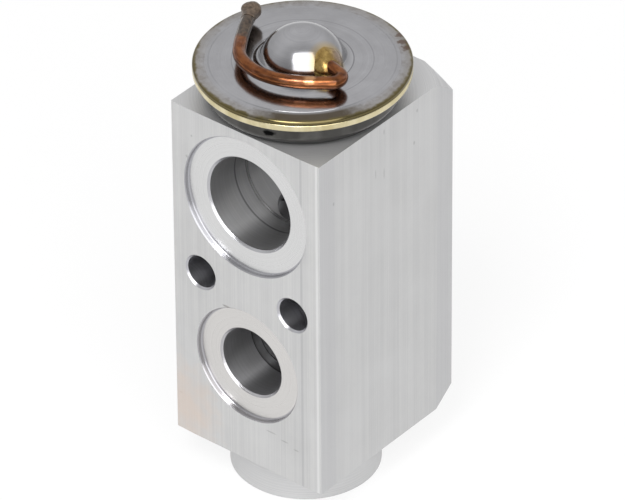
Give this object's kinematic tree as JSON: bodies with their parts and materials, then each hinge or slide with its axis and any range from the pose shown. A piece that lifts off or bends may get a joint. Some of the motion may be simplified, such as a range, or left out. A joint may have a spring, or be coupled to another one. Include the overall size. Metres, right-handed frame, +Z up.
{
  "type": "thermostatic expansion valve",
  "caption": "Block-type refrigerant expansion valve: machined aluminium block with ports on two faces, a turned spigot below and a welded power head with a bent charging tube on top.",
  "frame": {"origin": "on the valve axis, at the bottom face of the round spigot", "axes": "+Z up along the valve axis towards the power head, -Y out of the front face with its two ports, +X to the right seen from the front"},
  "size_m": [0.0418, 0.0439, 0.0996],
  "materials": {
    "block": "extruded aluminium, matte with fine drawn lines, turned faces in the ports",
    "head_steel": "polished stainless steel with a straw tint from welding at the rim",
    "thin_steel": "cold-rolled spring strip",
    "inner_steel": "ground steel",
    "rod_metal": "turned aluminium",
    "carrier_brass": "turned brass",
    "copper": "drawn copper, heat-darkened at its end",
    "braze": "flowed brazing alloy, glossy",
    "solder": "flowed solder, dull and uneven",
    "seal": "moulded rubber",
    "backup_plastic": "turned fluoroplastic"
  },
  "bodies": {
    "valve_body": {"valve_block": "block", "head_case": "head_steel", "head_cover": "head_steel", "diaphragm": "thin_steel", "head_seal": "seal", "charging_tube": "copper", "tube_braze": "braze", "tube_tip": "solder", "rod_seal": "seal", "seal_backup": "backup_plastic", "seal_retainer": "thin_steel", "seat_ring": "inner_steel"},
    "stroke_set": {"thrust_pad": "rod_metal", "sensing_rod": "rod_metal", "push_pin": "inner_steel", "valve_ball": "inner_steel", "ball_carrier": "carrier_brass", "damping_spring": "thin_steel"},
    "adjuster_slide": {"plug_seal": "seal", "main_spring": "inner_steel"},
    "adjuster": {"adjusting_plug": "carrier_brass"}
  },
  "joints": [
    {"name": "valve_stroke", "type": "slide", "parent": "valve_body", "child": "stroke_set", "axis": [0, 0, -1], "range_m": [0, 0.0008], "stiffness_N_per_m": 20000, "deforming": ["diaphragm", "main_spring"]},
    {"name": "adjuster_travel", "type": "slide", "parent": "valve_body", "child": "adjuster_slide", "axis": [0, 0, 1], "range_m": [-0.001, 0.001], "deforming": ["main_spring"]},
    {"name": "adjuster_turn", "type": "hinge", "parent": "adjuster_slide", "child": "adjuster", "pos_m": [0, 0, 0.005], "axis": [0, 0, 1], "range_deg": [-360, 360]}
  ],
  "couplings": [
    {"joint": "adjuster_travel", "follows": "adjuster_turn", "m_per_rad": 0.00015915}
  ]
}
